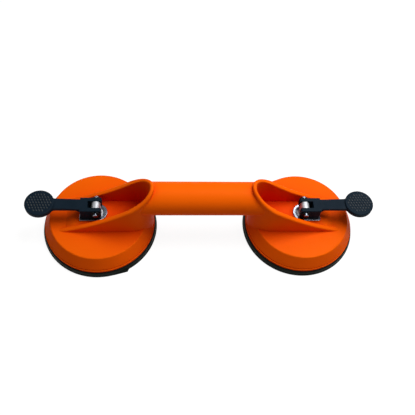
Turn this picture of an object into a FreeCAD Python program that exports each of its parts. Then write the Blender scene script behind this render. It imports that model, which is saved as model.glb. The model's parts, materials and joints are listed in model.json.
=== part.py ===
"""Twin-cup suction lifter: two suction heads joined by a tube handle.

Millimetres, +Z up. The origin lies on the ground midway between the cups, +X runs
along the handle towards the right-hand cup and +Y points away from the user.
The lifter is drawn with both levers flat, which is the locked state: the studs are
raised and pull the middle of each rubber cup up.

Each head is drawn once in its own frame, with the cup's centre at the origin and
+X pointing outwards, and is then placed at either end of the handle.
"""
import os
from math import acos, cos, degrees, pi, radians, sin, sqrt

import FreeCAD, Part
from FreeCAD import Vector

# Overrun of cutting and joining shapes past a face
overrun = 1.0

# Edges are picked for rounding by their place, to this tolerance, and by their length
pick_tolerance = 0.02
short_edge = 1.0

# Overall layout
cup_spacing = 210.0
handle_radius = 16.7
handle_height = 56.75
handle_wall = 2.9

# Rubber cup
cup_radius = 59.0
cup_edge_height = 1.6
cup_shoulder_radius = 57.6
cup_rest_ring = 9.0
cup_dome = 6.5
cup_dome_radius = 21.0
cup_hub_thickness = 5.0
cup_hub_radius = 25.0
cup_hub_collar = 1.6
cup_hub_slope = 4.0
cup_web = 3.4
cup_flange_gap = 1.0
tab_reach = 1.7
tab_root = 3.0
tab_step = 2.5
tab_start_sink = 0.15
tab_thickness = 1.8
tab_angle_left = 119.5
tab_angle_right = 60.0

# Drum of the head
rim_height = 6.5
rim_radius = 56.6
rim_band = 3.4
rim_edge = 0.6
groove_depth = 1.5
groove_height = 0.9
side_foot_radius = 55.7
top_radius = 49.2
top_height = 23.4
top_edge_round = 1.2
drum_wall = 3.0

# Raised floor inside the cowl, with a ramp down to the drum's top at its outer end
floor_height = 28.0
floor_rim_margin = 1.4
floor_ramp_length = 15.5
floor_ramp_sink = 0.6

# Inside of the drum
boss_radius = 10.5
boss_drop = 9.0
rib_count = 8
rib_thickness = 2.2
rib_inner_depth = 8.0
rib_outer_depth = 12.0

# Cowl that stands on the drum and carries the handle
cowl_half_width = 19.2
cowl_side_draft = 0.3
cowl_side_wall = 4.9
cowl_nose_length = 26.0
cowl_reach = 57.8
cowl_nose_draft = 1.8
cowl_nose_wall = 3.9
well_arc_shift = 1.7
cowl_top_margin = 5.5
cowl_foot_x = 38.5
cowl_end_sink = 3.5
cowl_rim_sag = 7.18
cowl_tip_inset = 0.6
cowl_tip_height = 80.5
cowl_outer_round = 1.8
cowl_inner_round = 1.3
seam_gap = 2.7

# Spigot that carries the tube
spigot_length = 24.0
spigot_clearance = 0.15
spigot_wall = 3.0

# Pin, cam and lift
pin_x = 1.0
pin_above_plate = 10.5
pin_radius = 2.5
pin_half_length = 11.5
pin_chamfer = 0.5
lift = 5.0
lever_swing = 90.0
cam_clearance = 0.1
cam_steps = 10

# Wear plate under the cam
plate_thickness = 2.0
plate_half_width = 9.8
plate_inner_end = -9.2
plate_outer_end = 18.4
plate_corner = 1.5
plate_edge_round = 0.4
plate_tab_width = 7.0
plate_tab_depth = 2.2
plate_tab_inset = 2.4
plate_tab_thickness = 1.6
plate_clearance = 0.15
plate_bore_clearance = 0.3

# Pull rod
rod_radius = 6.0
rod_clearance = 0.1
rod_blade_length = 11.3
rod_blade_half_width = 4.1
rod_blade_half_thickness = 3.75
rod_eye_radius = 4.4
rod_tap_depth = 11.0
pin_fit = 0.02

# Stud bolt and insert disc
insert_radius = 20.0
insert_thickness = 2.5
insert_clearance = 0.1
bolt_radius = 4.0
bolt_head_radius = 7.5
bolt_head_thickness = 1.6
bolt_fit = 0.05
bolt_end_gap = 1.0

# Retaining clips on the pin
clip_radius = 4.4
clip_thickness = 0.9
clip_side_gap = 0.3
clip_notch = 2.0
clip_fit = 0.02

# Lever
block_half_width = 8.0
block_above_pin = 4.8
block_end = 16.5
block_corner = 1.2
slot_half_width = 4.0
slot_end = 9.0
lever_bore_clearance = 0.06
shank_half_width = 5.8
shank_thickness = 5.0
shank_rise = 2.5
shank_fillet = 6.0
pad_centre = 55.5
pad_radius = 14.45
pad_above_block = 3.6
pad_thickness = 5.8
pad_edge_round = 1.2
neck_round = 6.0
block_side_round = 0.7

# Derived values
wear_height = floor_height + plate_thickness
pin_height = wear_height + pin_above_plate
rod_shoulder_height = pin_height - rod_blade_length
block_top = pin_height + block_above_pin
pad_top = block_top + pad_above_block
cam_locked = pin_above_plate - cam_clearance
cam_released = cam_locked - lift
cam_offset = lift / radians(lever_swing)
ceiling_height = floor_height - drum_wall
insert_bottom = cup_dome + cup_hub_thickness
insert_top = insert_bottom + insert_thickness
rod_bottom = insert_top
handle_bore = handle_radius - handle_wall
band_top = rim_height + rim_band
groove_top = band_top + groove_height
spigot_radius = handle_bore - spigot_clearance
handle_seam = cowl_reach + seam_gap
well_half_width = cowl_half_width - cowl_side_wall
cowl_arc_centre = cowl_nose_length - cowl_reach
well_arc_centre = cowl_arc_centre - well_arc_shift
well_reach = cowl_reach - cowl_nose_wall
cowl_outer_end = cowl_foot_x + cowl_end_sink
cowl_top_level = cowl_tip_height + cowl_top_margin


def polygon(points):
    """Closed flat face through the points."""
    return Part.Face(Part.makePolygon(points + [points[0]]))


def turned(profile):
    """Solid of revolution about Z from a list of (radius, height)."""
    face = polygon([Vector(r, 0, z) for r, z in profile])
    return face.revolve(Vector(0, 0, 0), Vector(0, 0, 1), 360)


def cylinder_z(radius, low, high, x=0.0, y=0.0):
    return Part.makeCylinder(radius, high - low, Vector(x, y, low), Vector(0, 0, 1))


def cylinder_y(radius, low, high, x, z):
    return Part.makeCylinder(radius, high - low, Vector(x, low, z), Vector(0, 1, 0))


def cylinder_x(radius, low, high, z):
    return Part.makeCylinder(radius, high - low, Vector(low, 0, z), Vector(1, 0, 0))


def block(x0, x1, y0, y1, z0, z1):
    return Part.makeBox(x1 - x0, y1 - y0, z1 - z0, Vector(x0, y0, z0))


def one_solid(shape):
    """The single solid inside a boolean's result, with its seams merged."""
    return shape.removeSplitter().Solids[0]


def boat_wire(half_width, centre, reach, end, z):
    """Plan outline, open square at the outer end and elliptic towards the handle."""
    left = Vector(centre, half_width, z)
    right = Vector(centre, -half_width, z)
    outer_left = Vector(end, half_width, z)
    outer_right = Vector(end, -half_width, z)
    length = reach + centre
    nose = Part.Arc(left, Vector(centre - half_width, 0, z), right).toBSpline()
    for i, pole in enumerate(nose.getPoles(), 1):
        nose.setPole(i, Vector(centre + (pole.x - centre) * length / half_width, pole.y, z))
    edges = [Part.makeLine(outer_left, left), nose.toShape()]
    edges += [Part.makeLine(right, outer_right), Part.makeLine(outer_right, outer_left)]
    return Part.Wire(edges)


def rim_arc():
    """Centre (x, z) and radius of the long arc that the cowl's rim follows, seen from the side."""
    foot = Vector(cowl_foot_x, 0, top_height)
    tip = Vector(cowl_tip_inset - cowl_reach, 0, cowl_tip_height)
    half_chord = (tip - foot).Length / 2
    radius = (half_chord ** 2 + cowl_rim_sag ** 2) / (2 * cowl_rim_sag)
    across = Vector(tip.z - foot.z, 0, foot.x - tip.x).normalize()
    centre = (foot + tip) / 2 + across * (radius - cowl_rim_sag)
    return centre.x, centre.z, radius


def ramp_start():
    """Where the raised floor ends: the cowl's rim is there a margin above it."""
    cx, cz, radius = rim_arc()
    return cx - sqrt(radius ** 2 - (cz - floor_height - floor_rim_margin) ** 2)


def cowl_rim(shell):
    """The lengthwise edges of a shape that lie on the cowl's rim."""
    cx, cz, radius = rim_arc()

    def off_arc(point):
        return abs(sqrt((point.x - cx) ** 2 + (point.z - cz) ** 2) - radius)

    return [e for e in shell.Edges
            if e.BoundBox.XLength > short_edge and max(off_arc(p) for p in e.discretize(5)) < pick_tolerance]


def above_cowl():
    """Everything above the cowl's rim."""
    cx, cz, radius = rim_arc()

    def on_arc(x):
        return Vector(x, -2 * cowl_half_width, cz - sqrt(radius ** 2 - (x - cx) ** 2))

    start = cowl_outer_end + overrun
    finish = -handle_seam - overrun
    low, mid, high = on_arc(start), on_arc((start + finish) / 2), on_arc(finish)
    lid = 2 * cowl_top_level
    edges = [Part.Arc(low, mid, high).toShape()]
    edges += [Part.makeLine(high, Vector(finish, high.y, lid))]
    edges += [Part.makeLine(Vector(finish, high.y, lid), Vector(start, low.y, lid))]
    edges += [Part.makeLine(Vector(start, low.y, lid), low)]
    return Part.Face(Part.Wire(edges)).extrude(Vector(0, 4 * cowl_half_width, 0))


def cowl_well():
    """Space inside the cowl, down to a raised floor that ramps to the drum's top at its outer end."""
    start = Vector(ramp_start(), 0, floor_height)
    end = Vector(start.x + floor_ramp_length, 0, top_height - floor_ramp_sink)
    middle = (start + end) / 2
    ramp = Part.BSplineCurve()
    ramp.interpolate(Points=[start, middle, end], InitialTangent=Vector(1, 0, 0),
                     FinalTangent=Vector(1, 0, 0))
    root = groove_top - overrun
    lid = cowl_top_level + overrun
    outline = [end, Vector(end.x, 0, root), Vector(rim_radius, 0, root), Vector(rim_radius, 0, lid),
               Vector(-cowl_reach, 0, lid), Vector(-cowl_reach, 0, floor_height), start]
    edges = [ramp.toShape()] + [Part.makeLine(a, b) for a, b in zip(outline, outline[1:])]
    side = Part.Face(Part.Wire(edges))
    side.translate(Vector(0, -cowl_half_width, 0))
    plan = boat_wire(well_half_width, well_arc_centre, well_reach, cowl_outer_end + overrun, 0)
    plan = Part.Face(plan).extrude(Vector(0, 0, 2 * cowl_top_level))
    return side.extrude(Vector(0, 2 * cowl_half_width, 0)).common(plan)


def cowl_shell():
    """Tapered boat-shaped wall round its raised floor, with the rim rounded."""
    outer = Part.makeLoft([
        boat_wire(cowl_half_width + cowl_side_draft, cowl_arc_centre, cowl_reach - cowl_nose_draft,
                  cowl_outer_end, groove_top),
        boat_wire(cowl_half_width, cowl_arc_centre, cowl_reach, cowl_outer_end, cowl_top_level),
    ], True, True)
    outer = one_solid(outer.cut(above_cowl()))
    outer = outer.makeFillet(cowl_outer_round, cowl_rim(outer))
    shell = one_solid(outer.cut(cowl_well()))
    midway = well_half_width + (cowl_side_wall - cowl_outer_round) / 2

    def is_inner(edge):
        return max(edge.BoundBox.YMax, -edge.BoundBox.YMin) < midway

    return shell.makeFillet(cowl_inner_round, [e for e in cowl_rim(shell) if is_inner(e)])


def drum_outside():
    body = turned([
        (0, rim_height),
        (rim_radius - rim_edge, rim_height),
        (rim_radius, rim_height + rim_edge),
        (rim_radius, band_top - rim_edge),
        (rim_radius - rim_edge, band_top),
        (rim_radius - groove_depth, band_top),
        (rim_radius - groove_depth, groove_top),
        (side_foot_radius, groove_top),
        (top_radius, top_height),
        (0, top_height),
    ])
    brow = [e for e in body.Edges if e.BoundBox.ZMin > top_height - pick_tolerance]
    return body.makeFillet(top_edge_round, brow)


def drum_hollow():
    """Space inside the drum, with a deeper pocket under the cowl's raised floor."""
    inner_rim = rim_radius - drum_wall
    inner_top = top_radius - drum_wall
    under_top = top_height - drum_wall
    main = turned([(0, 0), (inner_rim, 0), (inner_rim, rim_height),
                   (inner_top, under_top), (0, under_top)])
    pocket = boat_wire(well_half_width, well_arc_centre, well_reach - drum_wall, ramp_start(), rim_height)
    return main.fuse(Part.Face(pocket).extrude(Vector(0, 0, ceiling_height - rim_height)))


def ribs():
    """Radial ribs under the drum's top, from the boss to the side wall."""
    profile = polygon([
        Vector(0, -rib_thickness / 2, ceiling_height + overrun),
        Vector(0, -rib_thickness / 2, ceiling_height - rib_inner_depth),
        Vector(rim_radius, -rib_thickness / 2, ceiling_height - rib_outer_depth),
        Vector(rim_radius, -rib_thickness / 2, ceiling_height + overrun),
    ])
    rib = profile.extrude(Vector(0, rib_thickness, 0))
    found = []
    for i in range(rib_count):
        one = rib.copy()
        one.rotate(Vector(pin_x, 0, 0), Vector(0, 0, 1), 360.0 * (i + 0.5) / rib_count)
        found.append(one)
    return found


def head():
    """Moulding with the drum, the cowl and the spigot for the handle."""
    outside = drum_outside()
    shell = cowl_shell()
    stub = cylinder_x(handle_radius, -handle_seam, well_arc_centre, handle_height)
    stub = stub.cut(above_cowl()).cut(cowl_well())
    body = outside.fuse([shell, stub]).cut(drum_hollow())
    boss = cylinder_z(boss_radius, ceiling_height - boss_drop, ceiling_height + overrun, pin_x)
    inside = boss.fuse(ribs()).common(drum_hollow())
    spigot_end = -handle_seam - spigot_length
    spigot = cylinder_x(spigot_radius, spigot_end, -handle_seam + overrun, handle_height)
    spigot = spigot.cut(cylinder_x(spigot_radius - spigot_wall, spigot_end - overrun, -handle_seam,
                                   handle_height))
    body = body.fuse([inside, spigot])
    body = body.cut(cylinder_z(rod_radius + rod_clearance, 0, floor_height + overrun, pin_x))
    slot_x = plate_outer_end - plate_tab_inset
    body = body.cut(block(slot_x - plate_tab_thickness - plate_clearance, slot_x + plate_clearance,
                          -plate_tab_width / 2 - plate_clearance, plate_tab_width / 2 + plate_clearance,
                          floor_height - plate_tab_depth - plate_clearance,
                          floor_height + overrun))
    return one_solid(body)


def handle_tube():
    half = cup_spacing / 2 - handle_seam
    tube = cylinder_x(handle_radius, -half, half, handle_height)
    return tube.cut(cylinder_x(handle_bore, -half - overrun, half + overrun, handle_height))


def release_tab(angle):
    """Pointed tab whose long edge leaves the cup's round edge along a tangent."""
    tip = cup_radius + tab_reach
    spread = degrees(acos(cup_radius / tip))
    root = cup_radius - tab_root

    def at(radius, turn):
        return Vector(radius * cos(radians(angle + turn)), radius * sin(radians(angle + turn)), 0)

    plan = [at(root, -spread), at(cup_radius - tab_start_sink, -spread), at(tip, 0),
            at(cup_radius - tab_start_sink, tab_step), at(root, tab_step)]
    return polygon(plan).extrude(Vector(0, 0, tab_thickness))


def rubber_cup(tab_angle):
    """Cup with its middle pulled up, a seat for the insert disc and a release tab."""
    ring_inner = cup_radius - cup_rest_ring
    hub_top = insert_bottom + cup_hub_collar
    seat_radius = insert_radius + insert_clearance
    cup = turned([
        (0, cup_dome),
        (cup_dome_radius, cup_dome),
        (ring_inner, 0),
        (cup_radius, 0),
        (cup_radius, cup_edge_height),
        (cup_shoulder_radius, rim_height),
        (rim_radius - drum_wall - cup_flange_gap, rim_height),
        (cup_hub_radius + cup_hub_slope, cup_dome + cup_web),
        (cup_hub_radius, hub_top),
        (seat_radius, hub_top),
        (seat_radius, insert_bottom),
        (0, insert_bottom),
    ])
    return one_solid(cup.fuse(release_tab(tab_angle)))


def insert_disc():
    disc = cylinder_z(insert_radius, insert_bottom, insert_top)
    disc = disc.cut(cylinder_z(bolt_radius + bolt_fit, 0, insert_top + overrun, pin_x))
    seat = bolt_head_radius + bolt_fit
    return disc.cut(cylinder_z(seat, 0, insert_bottom + bolt_head_thickness, pin_x))


def stud_bolt():
    bolt_head = cylinder_z(bolt_head_radius, insert_bottom, insert_bottom + bolt_head_thickness, pin_x)
    shank_top = rod_bottom + rod_tap_depth - bolt_end_gap
    shank = cylinder_z(bolt_radius, insert_bottom, shank_top, pin_x)
    return one_solid(bolt_head.fuse(shank))


def pull_rod():
    """Round rod with a flat blade and an eye for the pin, tapped from below."""
    rod = cylinder_z(rod_radius, rod_bottom, rod_shoulder_height, pin_x)
    blade = block(pin_x - rod_blade_half_width, pin_x + rod_blade_half_width,
                  -rod_blade_half_thickness, rod_blade_half_thickness,
                  rod_shoulder_height - overrun, pin_height)
    eye = cylinder_y(rod_eye_radius, -rod_blade_half_thickness, rod_blade_half_thickness, pin_x, pin_height)
    body = rod.fuse([blade, eye])
    body = body.cut(cylinder_y(pin_radius + pin_fit, -rod_radius, rod_radius, pin_x, pin_height))
    body = body.cut(cylinder_z(bolt_radius + bolt_fit, 0, rod_bottom + rod_tap_depth, pin_x))
    return one_solid(body)


def hinge_pin():
    pin = cylinder_y(pin_radius, -pin_half_length, pin_half_length, pin_x, pin_height)
    return pin.makeChamfer(pin_chamfer, [e for e in pin.Edges if e.BoundBox.YLength < pick_tolerance])


def pin_clip(end):
    """Push-on clip outside the lever's cheek, open at one side; end is -1 or 1."""
    near = block_half_width + clip_side_gap
    low, high = sorted((end * near, end * (near + clip_thickness)))
    clip = cylinder_y(clip_radius, low, high, pin_x, pin_height)
    clip = clip.cut(cylinder_y(pin_radius + clip_fit, low - overrun, high + overrun, pin_x, pin_height))
    gap = block(pin_x - clip_notch / 2, pin_x + clip_notch / 2, low - overrun, high + overrun,
                pin_height, pin_height + 2 * clip_radius)
    return one_solid(clip.cut(gap))


def wear_plate():
    """Steel plate that the cam slides on, with a tab let into the cowl's floor."""
    half = plate_half_width
    nose_centre = plate_inner_end + half
    plate = block(nose_centre, plate_outer_end, -half, half, floor_height, wear_height)
    corners = [e for e in plate.Edges
               if e.BoundBox.ZLength > short_edge and e.BoundBox.XMin > plate_outer_end - pick_tolerance]
    plate = plate.makeFillet(plate_corner, corners)
    plate = one_solid(plate.fuse(cylinder_z(half, floor_height, wear_height, nose_centre)))
    brim = [e for e in plate.Edges if e.BoundBox.ZMin > wear_height - pick_tolerance]
    plate = plate.makeFillet(plate_edge_round, brim)
    tab_x = plate_outer_end - plate_tab_inset
    tab = block(tab_x - plate_tab_thickness, tab_x, -plate_tab_width / 2, plate_tab_width / 2,
                floor_height - plate_tab_depth, floor_height + overrun)
    plate = plate.fuse(tab)
    plate = plate.cut(cylinder_z(rod_radius + plate_bore_clearance, 0, pin_height, pin_x))
    return one_solid(plate)


def cam_point(angle):
    """Point of the cam whose tangent is level after the lever has turned by angle.

    The distance from the pin to the plate shrinks evenly with the turn, so this is
    the involute of a circle of radius cam_offset.
    """
    height = cam_locked - cam_offset * angle
    return Vector(pin_x - height * sin(angle) + cam_offset * cos(angle), 0,
                  pin_height - height * cos(angle) - cam_offset * sin(angle))


def block_side():
    """Side view of the lever's block, with the cam along its inner bottom corner."""
    turn = radians(lever_swing)
    points = [cam_point(turn * i / cam_steps) for i in range(cam_steps + 1)]
    cam = Part.BSplineCurve()
    cam.interpolate(points)
    bottom, inner = points[0], points[-1]
    outline = [
        inner,
        Vector(inner.x, 0, block_top - block_corner),
        Vector(inner.x + block_corner, 0, block_top),
        Vector(block_end, 0, block_top),
        Vector(block_end, 0, bottom.z),
        bottom,
    ]
    edges = [cam.toShape()] + [Part.makeLine(a, b) for a, b in zip(outline, outline[1:])]
    return Part.Face(Part.Wire(edges))


def lever_block():
    side = block_side()
    side.translate(Vector(0, -block_half_width, 0))
    body = side.extrude(Vector(0, 2 * block_half_width, 0))

    def on_flank(edge):
        box = edge.BoundBox
        along_top = box.ZMin > block_top - pick_tolerance and box.XLength > short_edge
        down_end = box.XMin > block_end - pick_tolerance and box.ZLength > short_edge
        return box.YLength < pick_tolerance and (along_top or down_end)

    body = body.makeFillet(block_side_round, [e for e in body.Edges if on_flank(e)])
    slot = block(pin_x - 2 * cam_locked, slot_end, -slot_half_width, slot_half_width, 0, 2 * pin_height)
    return body.cut(slot)


def lever_arm():
    """Shank that rises gently to the thumb pad and curves down into the block."""
    start = block_end - block_side_round - overrun
    under = block_top + shank_rise - shank_thickness
    arc_end = Vector(block_end + shank_fillet, 0, under)
    arc_start = Vector(block_end, 0, under - shank_fillet)
    arc_mid = Vector(block_end + shank_fillet * (1 - sin(pi / 4)), 0,
                     under - shank_fillet * (1 - cos(pi / 4)))
    outline = [
        arc_start,
        Vector(start, 0, arc_start.z),
        Vector(start, 0, block_top),
        Vector(block_end, 0, block_top),
        Vector(pad_centre, 0, block_top + shank_rise),
        Vector(pad_centre, 0, under),
        arc_end,
    ]
    edges = [Part.makeLine(a, b) for a, b in zip(outline, outline[1:])]
    edges += [Part.Arc(arc_end, arc_mid, arc_start).toShape()]
    side = Part.Face(Part.Wire(edges))
    side.translate(Vector(0, -pad_radius, 0))
    plan = block(start, pad_centre, -shank_half_width, shank_half_width, 0, 2 * pin_height)
    plan = plan.fuse(cylinder_z(pad_radius - pad_edge_round, 0, 2 * pin_height, pad_centre))

    def at_neck(edge):
        box = edge.BoundBox
        upright = box.ZLength > short_edge and box.XLength < pick_tolerance
        on_side = abs(abs(box.YMin) - shank_half_width) < pick_tolerance
        return upright and on_side and block_end < box.XMin < pad_centre

    plan = plan.makeFillet(neck_round, [e for e in plan.Edges if at_neck(e)])
    return side.extrude(Vector(0, 2 * pad_radius, 0)).common(plan)


def lever():
    """Cam lever: forked block, shank and round thumb pad in one moulding."""
    pad = cylinder_z(pad_radius, pad_top - pad_thickness, pad_top, pad_centre)
    pad = pad.makeFillet(pad_edge_round, [e for e in pad.Edges if e.BoundBox.ZLength < pick_tolerance])
    body = lever_block().fuse([lever_arm(), pad])
    body = body.cut(cylinder_y(pin_radius + lever_bore_clearance, -2 * block_half_width,
                               2 * block_half_width, pin_x, pin_height))
    return one_solid(body)


def place(shape, side):
    """Move a shape from a head's own frame to the left (-1) or right (+1) end."""
    placed = shape.copy()
    if side < 0:
        placed.rotate(Vector(0, 0, 0), Vector(0, 0, 1), 180)
    placed.translate(Vector(side * cup_spacing / 2, 0, 0))
    return placed


def build():
    nodes = {"handle_tube": handle_tube()}
    pieces = {
        "head": head(),
        "insert_disc": insert_disc(),
        "stud_bolt": stud_bolt(),
        "pull_rod": pull_rod(),
        "hinge_pin": hinge_pin(),
        "wear_plate": wear_plate(),
        "lever": lever(),
    }
    for name, side, tab_angle in (("left", -1, tab_angle_left), ("right", 1, tab_angle_right)):
        for piece, shape in pieces.items():
            nodes[piece + "_" + name] = place(shape, side)
        nodes["rubber_cup_" + name] = place(rubber_cup(tab_angle), side)
        nodes["pin_clip_front_" + name] = place(pin_clip(-side), side)
        nodes["pin_clip_back_" + name] = place(pin_clip(side), side)
    return nodes


os.makedirs("parts", exist_ok=True)
for node, shape in build().items():
    shape.exportStep("parts/" + node + ".step")
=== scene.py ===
"""Looks of the twin-cup suction lifter: finishes, rubber cups, grip pads, floor, light and camera.

Metres, +Z up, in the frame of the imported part: the origin is on the floor midway between
the cups and +X runs along the handle towards the right-hand cup.
"""

import json
from math import acos, cos, hypot, pi, radians, sin

import bmesh
import bpy
from mathutils import Matrix, Vector


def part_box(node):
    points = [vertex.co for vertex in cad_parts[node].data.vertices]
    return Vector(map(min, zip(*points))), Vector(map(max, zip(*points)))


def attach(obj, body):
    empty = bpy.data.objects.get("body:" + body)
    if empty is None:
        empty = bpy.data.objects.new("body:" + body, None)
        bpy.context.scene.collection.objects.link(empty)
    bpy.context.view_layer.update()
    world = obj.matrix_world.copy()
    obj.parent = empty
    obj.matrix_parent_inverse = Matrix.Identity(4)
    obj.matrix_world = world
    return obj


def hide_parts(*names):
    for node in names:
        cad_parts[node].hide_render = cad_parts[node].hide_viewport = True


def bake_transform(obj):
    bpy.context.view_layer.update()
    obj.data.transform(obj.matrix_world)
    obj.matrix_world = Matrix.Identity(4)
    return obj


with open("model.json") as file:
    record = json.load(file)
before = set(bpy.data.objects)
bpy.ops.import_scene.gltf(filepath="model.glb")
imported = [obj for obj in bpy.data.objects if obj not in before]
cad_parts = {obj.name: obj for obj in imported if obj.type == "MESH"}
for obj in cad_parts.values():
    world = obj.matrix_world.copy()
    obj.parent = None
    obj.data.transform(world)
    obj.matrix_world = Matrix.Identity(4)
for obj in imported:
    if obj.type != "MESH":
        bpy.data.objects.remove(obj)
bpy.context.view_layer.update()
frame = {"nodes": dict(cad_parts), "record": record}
mm = 0.001

# Camera, worked out from the photograph's ellipses
camera_place = Vector((-0.03425, -0.28968, 0.5314))
camera_elevation = radians(59.28)
camera_yaw = radians(-7.88)
camera_roll = radians(6.82)
camera_lens = 48.9
sensor_width = 36.0
camera_near = 0.01

# One soft lamp, and the strength of the even light around it
key_place = Vector((0.26, 0.17, 0.80))
key_target = Vector((0.0, 0.0, 0.03))
key_size = 0.60
key_power = 7.0
ambient_strength = 0.24

# Backdrop that the camera and the polished steel see, and the elevations between which it dims
horizon_strength = 0.95
zenith_strength = 0.30
horizon_top = radians(25)
zenith_edge = radians(60)

# Floor: what it throws back on the object, and the shade and glow that the camera sees
floor_half = 6.0
floor_gap = 0.2 * mm
floor_bounce = (0.44, 0.30, 0.24)
floor_shade = (0.20, 0.20, 0.20)
floor_glow = 0.90

# How far a hollow's walls may be apart for the painted shade to turn its orange a deeper red
painted_shade_reach = 50.0 * mm
painted_shade_samples = 8

# The part of its 0 to 1 range that a noise texture mostly fills
noise_low = 0.3
noise_high = 0.7

# Sides of the lifter: name and sign of X
sides = (("left", -1), ("right", 1))

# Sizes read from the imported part
insert_low, insert_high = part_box("insert_disc_right")
cup_x = (insert_low.x + insert_high.x) / 2
insert_radius = (insert_high.x - insert_low.x) / 2
insert_bottom = insert_low.z
rim_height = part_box("head_right")[0].z
pad_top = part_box("lever_right")[1].z

# Rubber cup
cup_radius = 59.0 * mm
cup_shoulder_radius = 57.6 * mm
cup_edge_height = 1.6 * mm
cup_ring_inner = 50.0 * mm
cup_dome = 6.5 * mm
cup_dome_radius = 21.0 * mm
cup_dome_power = 1.12
cup_crown = 0.001 * mm
cup_web = 3.4 * mm
cup_hub_radius = 25.0 * mm
cup_hub_slope = 4.0 * mm
cup_hub_collar = 1.6 * mm
insert_clearance = 0.1 * mm

# Lip's profile, as steps in from the cup's edge or shoulder and up or down from their heights
lip_round = 0.5 * mm
lip_foot_in = 0.5 * mm
lip_foot_up = 0.45 * mm
lip_edge_down = 0.3 * mm
lip_shelf_in = 0.35 * mm
lip_shelf_up = 0.1 * mm
lip_neck_in = 0.55 * mm
lip_neck_up = 0.5 * mm
lip_shoulder_out = 0.25 * mm
lip_shoulder_down = 0.9 * mm
lip_seat_in = 0.35 * mm
lip_seat_width = 5.0 * mm
lip_seat_gap = 0.05 * mm
lip_inner_down = 2.6 * mm

# Membrane: how far its underside, its foot and its upper corner run into the lip
membrane_overlap = 0.6 * mm
membrane_foot_overlap = 1.2 * mm
membrane_foot_height = 0.6 * mm
membrane_corner_overlap = 0.9 * mm
membrane_round = 1.2 * mm

# Release tab
tab_angles = {"left": radians(119.5), "right": radians(60.0)}
tab_reach = 1.7 * mm
tab_root = 1.5 * mm
tab_start_sink = 0.1 * mm
tab_step = radians(2.5)
tab_thickness = 1.8 * mm
tab_edge_round = 0.3 * mm

# Grip scales on the thumb pad
pad_centre = 55.5 * mm
scale_pitch = 2.8 * mm
scale_row = 3.0 * mm
scale_zone = 11.2 * mm
scale_half_width = 0.72 * mm
scale_half_length = 1.35 * mm
scale_height = 0.55 * mm
scale_sink = 0.15 * mm
scale_turn = radians(28)

# Fineness of the meshes, and the angles over which their edges stay sharp
lip_steps = 192
membrane_steps = 128
dome_steps = 14
scale_around = 12
scale_rings = 3
sharp_angle = radians(35)
scale_sharp_angle = radians(50)


# Helpers for nodes

def new_material(name, specular=0.5, metallic=0.0):
    """Material with a principled shader; returns it, its tree and the shader."""
    material = bpy.data.materials.new(name)
    material.use_nodes = True
    tree = material.node_tree
    shader = tree.nodes["Principled BSDF"]
    shader.inputs["Specular IOR Level"].default_value = specular
    shader.inputs["Metallic"].default_value = metallic
    return material, tree, shader


def noise(tree, scale, detail, stretch=(1.0, 1.0, 1.0)):
    """Noise in the part's own frame, scale in cells per metre."""
    place = tree.nodes.new("ShaderNodeTexCoord")
    mapping = tree.nodes.new("ShaderNodeMapping")
    mapping.inputs["Scale"].default_value = stretch
    texture = tree.nodes.new("ShaderNodeTexNoise")
    texture.inputs["Scale"].default_value = scale
    texture.inputs["Detail"].default_value = detail
    tree.links.new(place.outputs["Object"], mapping.inputs["Vector"])
    tree.links.new(mapping.outputs["Vector"], texture.inputs["Vector"])
    return texture.outputs["Fac"]


def spread(tree, value, low, high, from_low=noise_low, from_high=noise_high):
    """The value's usual range stretched to low..high."""
    node = tree.nodes.new("ShaderNodeMapRange")
    node.inputs["From Min"].default_value = from_low
    node.inputs["From Max"].default_value = from_high
    node.inputs["To Min"].default_value = low
    node.inputs["To Max"].default_value = high
    tree.links.new(value, node.inputs["Value"])
    return node.outputs["Result"]


def mottled(tree, pattern, first, second):
    """Colour that wanders between the first and the second with the pattern."""
    node = tree.nodes.new("ShaderNodeMix")
    node.data_type = "RGBA"
    tree.links.new(spread(tree, pattern, 0.0, 1.0), node.inputs["Factor"])
    node.inputs["A"].default_value = (*first, 1.0)
    node.inputs["B"].default_value = (*second, 1.0)
    return node.outputs["Result"]


def set_colour(tree, shader, colour):
    """Use the colour as the shader's own."""
    tree.links.new(colour, shader.inputs["Base Color"])


def set_roughness(tree, shader, pattern, low, high):
    """Let the roughness wander between low and high with the pattern."""
    tree.links.new(spread(tree, pattern, low, high), shader.inputs["Roughness"])


def set_bump(tree, shader, height, depth, strength):
    """Small relief of the surface, with its depth in metres."""
    node = tree.nodes.new("ShaderNodeBump")
    node.inputs["Strength"].default_value = strength
    node.inputs["Distance"].default_value = depth
    tree.links.new(height, node.inputs["Height"])
    tree.links.new(node.outputs["Normal"], shader.inputs["Normal"])


# Materials

def orange_plastic():
    """Injection-moulded orange plastic with a satin skin, and painted shade: a deeper red down in
    its hollows.
    """
    material, tree, shader = new_material("orange_moulded_plastic", specular=0.02)
    painted_shade_red = (0.66, 0.004, 0.0004)
    skin = mottled(tree, noise(tree, 26.0, 2.0), (0.88, 0.118, 0.0008), (0.92, 0.126, 0.0012))
    # Painted shade: the colour turns from the orange skin towards the deep red where ambient
    # occlusion finds walls close by, in hollows, creases and under things.
    openness = tree.nodes.new("ShaderNodeAmbientOcclusion")
    openness.inputs["Distance"].default_value = painted_shade_reach
    openness.samples = painted_shade_samples
    colour = tree.nodes.new("ShaderNodeMix")
    colour.data_type = "RGBA"
    colour.inputs["A"].default_value = (*painted_shade_red, 1.0)
    tree.links.new(openness.outputs["AO"], colour.inputs["Factor"])
    tree.links.new(skin, colour.inputs["B"])
    set_colour(tree, shader, colour.outputs["Result"])
    set_roughness(tree, shader, noise(tree, 180.0, 4.0), 0.42, 0.54)
    set_bump(tree, shader, noise(tree, 1500.0, 2.0), 0.04 * mm, 0.35)
    return material


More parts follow.
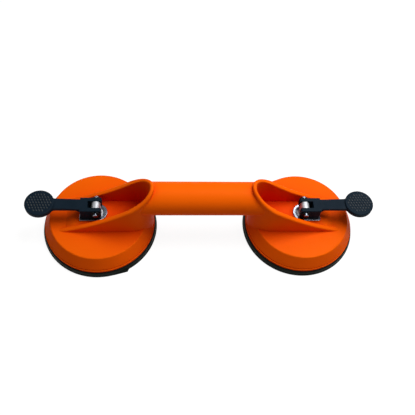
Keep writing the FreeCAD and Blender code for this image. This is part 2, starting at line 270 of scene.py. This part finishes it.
def black_plastic():
    """Glass-filled black nylon, lightly textured."""
    material, tree, shader = new_material("black_moulded_plastic", specular=0.03)
    set_colour(tree, shader,
               mottled(tree, noise(tree, 60.0, 3.0), (0.005, 0.012, 0.020), (0.008, 0.016, 0.026)))
    set_roughness(tree, shader, noise(tree, 300.0, 3.0), 0.36, 0.50)
    set_bump(tree, shader, noise(tree, 2200.0, 3.0), 0.06 * mm, 0.5)
    return material


def painted_sheen_plastic():
    """The same nylon on the raised grip scales, painted paler as a highlight for the light that they
    catch.
    """
    material, tree, shader = new_material("painted_sheen_moulded_plastic", specular=0.16)
    # Painted highlight: the scales' colour is paler than the pad's nylon so that they look lit.
    set_colour(tree, shader,
               mottled(tree, noise(tree, 500.0, 2.0), (0.022, 0.029, 0.035), (0.046, 0.053, 0.058)))
    set_roughness(tree, shader, noise(tree, 300.0, 3.0), 0.28, 0.42)
    return material


def black_rubber():
    """Soft black rubber with a faint bloom."""
    material, tree, shader = new_material("black_cup_rubber", specular=0.05)
    set_colour(tree, shader,
               mottled(tree, noise(tree, 90.0, 4.0), (0.005, 0.008, 0.006), (0.008, 0.012, 0.009)))
    set_roughness(tree, shader, noise(tree, 240.0, 4.0), 0.42, 0.60)
    set_bump(tree, shader, noise(tree, 1800.0, 3.0), 0.05 * mm, 0.4)
    return material


def zinc_steel():
    """Zinc-plated steel, softly mottled."""
    material, tree, shader = new_material("zinc_plated_steel", metallic=1.0)
    set_colour(tree, shader,
               mottled(tree, noise(tree, 350.0, 4.0), (0.44, 0.45, 0.48), (0.56, 0.57, 0.59)))
    set_roughness(tree, shader, noise(tree, 500.0, 4.0), 0.52, 0.66)
    set_bump(tree, shader, noise(tree, 900.0, 4.0), 0.04 * mm, 0.3)
    return material


def bright_steel():
    """Polished steel with fine drawn lines."""
    material, tree, shader = new_material("bright_polished_steel", metallic=1.0)
    lines = noise(tree, 500.0, 4.0, stretch=(0.15, 4.0, 1.0))
    set_colour(tree, shader, mottled(tree, lines, (0.18, 0.21, 0.27), (0.29, 0.31, 0.36)))
    set_roughness(tree, shader, lines, 0.16, 0.30)
    set_bump(tree, shader, lines, 0.02 * mm, 0.3)
    return material


def dark_steel():
    """Blackened spring steel with an oily skin."""
    material, tree, shader = new_material("blackened_steel", specular=0.08)
    set_colour(tree, shader,
               mottled(tree, noise(tree, 400.0, 3.0), (0.007, 0.007, 0.008), (0.014, 0.014, 0.015)))
    set_roughness(tree, shader, noise(tree, 700.0, 3.0), 0.45, 0.62)
    return material


# Helpers for meshes

def finish_mesh(name, mesh, material, sharp=sharp_angle):
    """Object from a mesh, shaded smooth except across edges sharper than the angle."""
    shape = bmesh.new()
    shape.from_mesh(mesh)
    bmesh.ops.recalc_face_normals(shape, faces=shape.faces)
    for face in shape.faces:
        face.smooth = True
    for edge in shape.edges:
        edge.smooth = len(edge.link_faces) == 2 and edge.calc_face_angle(0.0) < sharp
    shape.to_mesh(mesh)
    shape.free()
    mesh.materials.append(material)
    piece = bpy.data.objects.new(name, mesh)
    bpy.context.scene.collection.objects.link(piece)
    return piece


def rounded(points, radius, steps=4):
    """The profile's points with every corner rounded but its two ends.

    A corner takes less than half of the edges beside it, so that its neighbour has room.
    """
    share = 1 / 2.2
    found = [points[0]]
    for corner in zip(points, points[1:], points[2:]):
        before, here, after = (Vector(point) for point in corner)
        reach = min(radius, (before - here).length * share, (after - here).length * share)
        start = here + (before - here).normalized() * reach
        end = here + (after - here).normalized() * reach
        for k in range(steps + 1):
            t = k / steps
            point = start * (1 - t) ** 2 + here * 2 * t * (1 - t) + end * t ** 2
            found.append((point.x, point.y))
    found.append(points[-1])
    return found


def lathe(name, profile, material, centre, steps):
    """Ring or disc from a profile of (r, z) points turned about the vertical axis at the centre.

    A profile that starts on the axis ends there too, and one that doesn't is closed to a ring.
    """
    verts, faces, rings = [], [], []
    for r, z in profile:
        if r == 0.0:
            rings.append([len(verts)])
            verts.append((centre.x, centre.y, z))
            continue
        rings.append(range(len(verts), len(verts) + steps))
        for k in range(steps):
            a = 2 * pi * k / steps
            verts.append((centre.x + r * cos(a), centre.y + r * sin(a), z))
    pairs = list(zip(rings, rings[1:]))
    if len(rings[0]) > 1:
        pairs.append((rings[-1], rings[0]))
    for low, high in pairs:
        for k in range(steps):
            n = (k + 1) % steps
            if len(low) == 1:
                faces.append((low[0], high[n], high[k]))
            elif len(high) == 1:
                faces.append((low[k], low[n], high[0]))
            else:
                faces.append((low[k], low[n], high[n], high[k]))
    mesh = bpy.data.meshes.new(name)
    mesh.from_pydata(verts, [], faces)
    return finish_mesh(name, mesh, material)


# Pieces

def cup_lip(side, centre, material):
    """Outer ring of the rubber cup: it lies on the ground and carries the drum's rim."""
    seat = rim_height - lip_seat_gap
    profile = rounded([
        (cup_ring_inner, 0.0),
        (cup_radius - lip_foot_in, 0.0),
        (cup_radius, lip_foot_up),
        (cup_radius, cup_edge_height - lip_edge_down),
        (cup_radius - lip_shelf_in, cup_edge_height + lip_shelf_up),
        (cup_radius - lip_neck_in, cup_edge_height + lip_neck_up),
        (cup_shoulder_radius + lip_shoulder_out, rim_height - lip_shoulder_down),
        (cup_shoulder_radius - lip_seat_in, seat),
        (cup_shoulder_radius - lip_seat_width, seat),
        (cup_ring_inner, rim_height - lip_inner_down),
    ], lip_round, steps=3)
    piece = lathe("cup_lip_" + side, profile, material, centre, lip_steps)
    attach(piece, "root")
    return piece


def cup_membrane(side, centre, material):
    """Middle of the rubber cup, domed up by the stud, with its hub round the insert disc.

    The dome's flat middle stands a hair above its edge, the crown.
    """
    seat = insert_radius + insert_clearance
    hub_top = insert_bottom + cup_hub_collar
    dome_width = cup_ring_inner + membrane_overlap - cup_dome_radius
    profile = [(0.0, cup_dome + cup_crown), (cup_dome_radius / 2, cup_dome + cup_crown)]
    for k in range(dome_steps + 1):
        t = k / dome_steps
        profile.append((cup_dome_radius + dome_width * t, cup_dome * (1 - t) ** cup_dome_power))
    profile += rounded([
        (cup_ring_inner + membrane_foot_overlap, membrane_foot_height),
        (cup_ring_inner + membrane_corner_overlap, cup_web),
        (cup_hub_radius + cup_hub_slope, cup_dome + cup_web),
        (cup_hub_radius, hub_top),
        (seat, hub_top),
        (seat, insert_bottom),
    ], membrane_round)
    profile.append((0.0, insert_bottom))
    piece = lathe("cup_membrane_" + side, profile, material, centre, membrane_steps)
    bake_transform(piece)
    return piece


def release_tab(side, sign, centre, material):
    """Pointed tab on the lip that is lifted with a fingertip to let the air in.

    One flank leaves the cup's edge along its tangent and the other falls back steeply.
    """
    angle = tab_angles[side] + (pi if sign < 0 else 0.0)
    tip = cup_radius + tab_reach
    leave = -acos(cup_radius / tip)
    root = cup_radius - tab_root
    edge = cup_radius - tab_start_sink
    outline = [(root, leave), (edge, leave), (tip, 0.0), (edge, tab_step), (root, tab_step)]
    spots = [(r * cos(angle + a), r * sin(angle + a)) for r, a in outline]
    shape = bmesh.new()
    low = [shape.verts.new((x, y, 0.0)) for x, y in spots]
    top = [shape.verts.new((x, y, tab_thickness)) for x, y in spots]
    shape.faces.new(low)
    shape.faces.new(top)
    for a in range(len(spots)):
        b = (a + 1) % len(spots)
        shape.faces.new((low[a], low[b], top[b], top[a]))
    rim = [e for e in shape.edges if all(v in top for v in e.verts)]
    bmesh.ops.bevel(shape, geom=rim, offset=tab_edge_round, segments=2, affect="EDGES")
    bmesh.ops.translate(shape, verts=shape.verts, vec=centre)
    mesh = bpy.data.meshes.new("release_tab_" + side)
    shape.to_mesh(mesh)
    shape.free()
    piece = finish_mesh("release_tab_" + side, mesh, material)
    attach(piece, "root")
    return piece


def scale_spots():
    """Places of the grip scales about the pad's middle: staggered rows that fill a circle."""
    rows = int(scale_zone / scale_row) + 1
    columns = int(scale_zone / scale_pitch) + 1
    for row in range(-rows, rows + 1):
        shift = 0.5 if row % 2 else 0.0
        for column in range(-columns, columns + 1):
            x = (column + shift) * scale_pitch
            y = row * scale_row
            if hypot(x, y) <= scale_zone:
                yield x, y


def add_scale(verts, faces, x, y):
    """Add one scale, half an ellipsoid that is turned on the pad and sunk a little into it."""
    base = len(verts)
    for ring in range(scale_rings):
        lean = pi / 2 * ring / scale_rings
        z = scale_height * sin(lean) if ring else -scale_sink
        for k in range(scale_around):
            a = 2 * pi * k / scale_around
            u = scale_half_width * cos(lean) * cos(a)
            v = scale_half_length * cos(lean) * sin(a)
            verts.append((x + u * cos(scale_turn) - v * sin(scale_turn),
                          y + u * sin(scale_turn) + v * cos(scale_turn), z))
    crown = len(verts)
    verts.append((x, y, scale_height))
    rims = [list(range(start, start + scale_around)) for start in range(base, crown, scale_around)]
    for low, high in zip(rims, rims[1:]):
        for k in range(scale_around):
            n = (k + 1) % scale_around
            faces.append((low[k], low[n], high[n], high[k]))
    last = rims[-1]
    for k in range(scale_around):
        faces.append((last[k], last[(k + 1) % scale_around], crown))
    faces.append(rims[0][::-1])


def grip_scales(side, sign, centre, material):
    """Small raised scales on the thumb pad."""
    verts, faces = [], []
    for x, y in scale_spots():
        add_scale(verts, faces, x, y)
    mesh = bpy.data.meshes.new("grip_scales_" + side)
    place = Matrix.Translation((centre.x + sign * pad_centre, 0.0, pad_top))
    mesh.from_pydata([place @ Vector(v) for v in verts], [], faces)
    piece = finish_mesh("grip_scales_" + side, mesh, material, scale_sharp_angle)
    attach(piece, "lever_" + side)
    return piece


def build_pieces(materials):
    """Make each side's rubber cup, in place of the plain solid, and its grip scales."""
    for side, sign in sides:
        centre = Vector((sign * cup_x, 0.0, 0.0))
        rubber = [
            cup_lip(side, centre, materials["black_rubber"]),
            cup_membrane(side, centre, materials["black_rubber"]),
            release_tab(side, sign, centre, materials["black_rubber"]),
        ]
        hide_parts("rubber_cup_" + side)
        scales = grip_scales(side, sign, centre, materials["painted_sheen_plastic"])


def dress_nodes(materials):
    """Give every carried-over node the material of its slot, and the pin's clips dark steel."""
    slots = {row["node"]: row["material_slot"] for row in frame["record"]["subparts"]}
    for node, thing in frame["nodes"].items():
        thing.data.materials.clear()
        look = "dark_steel" if node.startswith("pin_clip") else slots[node]
        thing.data.materials.append(materials[look])


# Floor, world, light and camera

def seen_directly(tree):
    """1 for rays from the camera and for reflected and refracted ones, 0 for diffuse light."""
    path = tree.nodes.new("ShaderNodeLightPath")
    seen = path.outputs["Is Camera Ray"]
    for kind in ("Is Glossy Ray", "Is Transmission Ray"):
        either = tree.nodes.new("ShaderNodeMath")
        either.operation = "MAXIMUM"
        tree.links.new(seen, either.inputs[0])
        tree.links.new(path.outputs[kind], either.inputs[1])
        seen = either.outputs[0]
    return seen


def floor_material():
    """Pale floor that glows almost white where it is seen, and throws a warm light back."""
    material = bpy.data.materials.new("pale_floor")
    material.use_nodes = True
    tree = material.node_tree
    tree.nodes.clear()
    output = tree.nodes.new("ShaderNodeOutputMaterial")
    plain = tree.nodes.new("ShaderNodeBsdfDiffuse")
    plain.inputs["Color"].default_value = (*floor_bounce, 1.0)
    shadowed = tree.nodes.new("ShaderNodeBsdfDiffuse")
    shadowed.inputs["Color"].default_value = (*floor_shade, 1.0)
    glow = tree.nodes.new("ShaderNodeEmission")
    glow.inputs["Color"].default_value = (1.0, 1.0, 1.0, 1.0)
    glow.inputs["Strength"].default_value = floor_glow
    both = tree.nodes.new("ShaderNodeAddShader")
    mix = tree.nodes.new("ShaderNodeMixShader")
    tree.links.new(shadowed.outputs[0], both.inputs[0])
    tree.links.new(glow.outputs[0], both.inputs[1])
    tree.links.new(seen_directly(tree), mix.inputs["Fac"])
    tree.links.new(plain.outputs[0], mix.inputs[1])
    tree.links.new(both.outputs[0], mix.inputs[2])
    tree.links.new(mix.outputs[0], output.inputs["Surface"])
    return material


def make_floor():
    """Wide floor a hair below the cups, which shows white but keeps the object's soft shadow."""
    mesh = bpy.data.meshes.new("floor")
    corners = [(-1, -1), (1, -1), (1, 1), (-1, 1)]
    mesh.from_pydata([(x * floor_half, y * floor_half, 0.0) for x, y in corners], [], [(0, 1, 2, 3)])
    mesh.materials.append(floor_material())
    floor = bpy.data.objects.new("floor", mesh)
    bpy.context.scene.collection.objects.link(floor)
    floor.location.z = -floor_gap


def make_world():
    """White backdrop at the horizon, softer overhead, and a low even light."""
    world = bpy.data.worlds.new("studio")
    bpy.context.scene.world = world
    world.use_nodes = True
    tree = world.node_tree
    background = tree.nodes["Background"]
    background.inputs["Color"].default_value = (1.0, 1.0, 1.0, 1.0)
    place = tree.nodes.new("ShaderNodeTexCoord")
    split = tree.nodes.new("ShaderNodeSeparateXYZ")
    tree.links.new(place.outputs["Generated"], split.inputs["Vector"])
    backdrop = spread(tree, split.outputs["Z"], horizon_strength, zenith_strength,
                      sin(horizon_top), sin(zenith_edge))
    mix = tree.nodes.new("ShaderNodeMix")
    mix.data_type = "FLOAT"
    mix.inputs["A"].default_value = ambient_strength
    tree.links.new(seen_directly(tree), mix.inputs["Factor"])
    tree.links.new(backdrop, mix.inputs["B"])
    tree.links.new(mix.outputs["Result"], background.inputs["Strength"])


def make_key_light():
    """Large soft lamp, nearly overhead and to the right."""
    data = bpy.data.lights.new("key", "AREA")
    data.shape = "DISK"
    data.size = key_size
    data.energy = key_power
    light = bpy.data.objects.new("key", data)
    bpy.context.scene.collection.objects.link(light)
    light.location = key_place
    light.rotation_mode = "QUATERNION"
    light.rotation_quaternion = (key_target - key_place).to_track_quat("-Z", "Y")


def make_camera():
    """Camera at its place, looking down at the elevation and turned by the yaw, then rolled."""
    across = cos(camera_elevation)
    forward = Vector((-sin(camera_yaw) * across, cos(camera_yaw) * across, -sin(camera_elevation)))
    level = Vector((cos(camera_yaw), sin(camera_yaw), 0.0))
    lift = level.cross(forward)
    right = cos(camera_roll) * level + sin(camera_roll) * lift
    up = -sin(camera_roll) * level + cos(camera_roll) * lift
    data = bpy.data.cameras.new("camera")
    data.sensor_width = sensor_width
    data.lens = camera_lens
    data.clip_start = camera_near
    camera = bpy.data.objects.new("camera", data)
    bpy.context.scene.collection.objects.link(camera)
    turn = Matrix((right, up, -forward)).transposed()
    camera.matrix_world = Matrix.Translation(camera_place) @ turn.to_4x4()
    bpy.context.scene.camera = camera


make_camera()
materials = {
    "orange_plastic": orange_plastic(),
    "black_plastic": black_plastic(),
    "painted_sheen_plastic": painted_sheen_plastic(),
    "black_rubber": black_rubber(),
    "zinc_steel": zinc_steel(),
    "bright_steel": bright_steel(),
    "dark_steel": dark_steel(),
}
dress_nodes(materials)
build_pieces(materials)
make_floor()
make_world()
make_key_light()
bpy.context.scene.view_settings.view_transform = "Standard"
